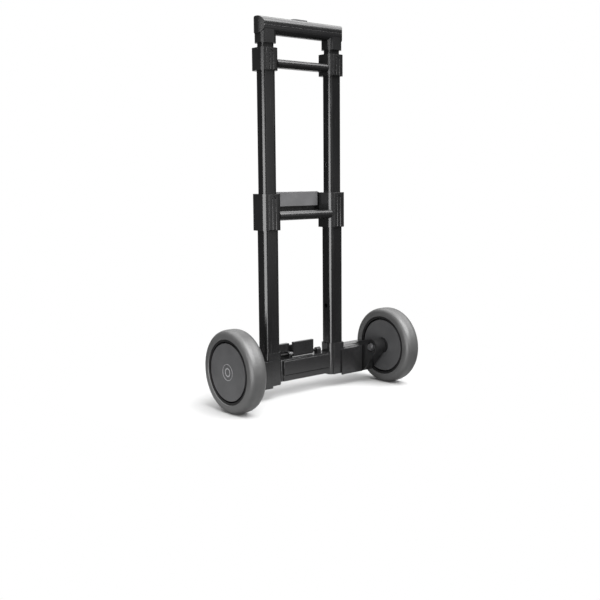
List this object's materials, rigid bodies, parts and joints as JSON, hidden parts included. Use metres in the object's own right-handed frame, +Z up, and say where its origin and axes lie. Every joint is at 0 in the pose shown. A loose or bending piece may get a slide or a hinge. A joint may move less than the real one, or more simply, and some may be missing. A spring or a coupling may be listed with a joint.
{
  "type": "ball machine trolley",
  "caption": "Two-wheeled telescoping trolley of a portable ball machine: grey wheels on a low base with a docking latch, twin sliding tubes, collar bracket and pull handle.",
  "frame": {"origin": "on the ground, midway between the wheels, straight below the axle", "axes": "+X along the axle to the user's right when facing +Y, +Y from the user towards the machine, +Z up along the tubes"},
  "size_m": [0.415, 0.15, 0.7],
  "materials": {
    "satin_plastic": "fine satin texture",
    "lit_plastic": "satin",
    "tube_black": "gloss black anodised aluminium",
    "tyre_grey": "smooth matt thermoplastic rubber",
    "rim_black": "satin",
    "cover_grey": "fine matt texture",
    "bearing_plastic": "natural acetal",
    "zinc_steel": "zinc plated",
    "black_steel": "black oxide",
    "spring_steel": "drawn wire"
  },
  "bodies": {
    "chassis": {"base_housing": "satin_plastic", "front_panel": "satin_plastic", "wheel_carrier_left": "satin_plastic", "wheel_carrier_right": "satin_plastic", "carrier_screws": "zinc_steel", "tube_screws": "zinc_steel", "latch_pin": "black_steel", "latch_spring": "spring_steel", "axle_left": "zinc_steel", "axle_right": "zinc_steel", "axle_washers": "zinc_steel", "axle_nuts": "zinc_steel", "lower_tube_left": "tube_black", "lower_tube_right": "tube_black", "mid_collar_left": "satin_plastic", "mid_collar_right": "satin_plastic", "mid_bar": "satin_plastic", "hanger_plate": "lit_plastic", "hanger_screws": "zinc_steel", "mid_collar_screws": "zinc_steel", "mid_guides": "bearing_plastic"},
    "middle_stage": {"middle_tube_left": "tube_black", "middle_tube_right": "tube_black", "middle_plug_left": "bearing_plastic", "middle_plug_right": "bearing_plastic", "middle_pin_springs": "spring_steel", "upper_collar_left": "satin_plastic", "upper_collar_right": "satin_plastic", "upper_bridge": "satin_plastic", "upper_collar_screws": "zinc_steel", "upper_guides": "bearing_plastic"},
    "top_stage": {"top_tube_left": "tube_black", "top_tube_right": "tube_black", "top_plug_left": "bearing_plastic", "top_plug_right": "bearing_plastic", "top_pin_springs": "spring_steel", "grip_lower": "satin_plastic", "grip_upper": "satin_plastic", "grip_screws": "zinc_steel", "button_springs": "spring_steel"},
    "release": {"release_button": "lit_plastic", "release_link": "zinc_steel", "release_rods": "zinc_steel"},
    "latch": {"docking_latch": "satin_plastic"},
    "wheel_left": {"tyre_left": "tyre_grey", "rim_left": "rim_black", "outer_cover_left": "cover_grey", "inner_cover_left": "cover_grey", "hub_cap_left": "cover_grey", "bushes_left": "bearing_plastic"},
    "middle_lock_left": {"middle_pin_left": "black_steel"},
    "top_lock_left": {"top_pin_left": "black_steel"},
    "wheel_right": {"tyre_right": "tyre_grey", "rim_right": "rim_black", "outer_cover_right": "cover_grey", "inner_cover_right": "cover_grey", "hub_cap_right": "cover_grey", "bushes_right": "bearing_plastic"},
    "middle_lock_right": {"middle_pin_right": "black_steel"},
    "top_lock_right": {"top_pin_right": "black_steel"}
  },
  "joints": [
    {"name": "wheel_left_spin", "type": "hinge", "parent": "chassis", "child": "wheel_left", "pos_m": [-0.19, 0, 0.075], "axis": [1, 0, 0], "continuous": true},
    {"name": "wheel_right_spin", "type": "hinge", "parent": "chassis", "child": "wheel_right", "pos_m": [0.19, 0, 0.075], "axis": [1, 0, 0], "continuous": true},
    {"name": "middle_slide", "type": "slide", "parent": "chassis", "child": "middle_stage", "axis": [0, 0, 1], "range_m": [-0.1745, 0]},
    {"name": "top_slide", "type": "slide", "parent": "middle_stage", "child": "top_stage", "axis": [0, 0, 1], "range_m": [0, 0.175]},
    {"name": "button_press", "type": "slide", "parent": "top_stage", "child": "release", "axis": [0, 0, -1], "range_m": [0, 0.004], "stiffness_N_per_m": 900, "springref_m": -0.003, "deforming": ["button_springs"]},
    {"name": "latch_tilt", "type": "hinge", "parent": "chassis", "child": "latch", "pos_m": [0, 0.043, 0.078], "axis": [1, 0, 0], "range_deg": [0, 15], "stiffness_Nm_per_rad": 0.25, "springref_deg": -11.46},
    {"name": "middle_lock_left_slide", "type": "slide", "parent": "middle_stage", "child": "middle_lock_left", "axis": [1, 0, 0], "range_m": [0, 0.0035]},
    {"name": "middle_lock_right_slide", "type": "slide", "parent": "middle_stage", "child": "middle_lock_right", "axis": [-1, 0, 0], "range_m": [0, 0.0035]},
    {"name": "top_lock_left_slide", "type": "slide", "parent": "top_stage", "child": "top_lock_left", "axis": [1, 0, 0], "range_m": [0, 0.0025]},
    {"name": "top_lock_right_slide", "type": "slide", "parent": "top_stage", "child": "top_lock_right", "axis": [-1, 0, 0], "range_m": [0, 0.0025]}
  ],
  "couplings": [
    {"joint": "middle_lock_right_slide", "follows": "middle_lock_left_slide", "ratio": 1},
    {"joint": "top_lock_right_slide", "follows": "top_lock_left_slide", "ratio": 1}
  ]
}
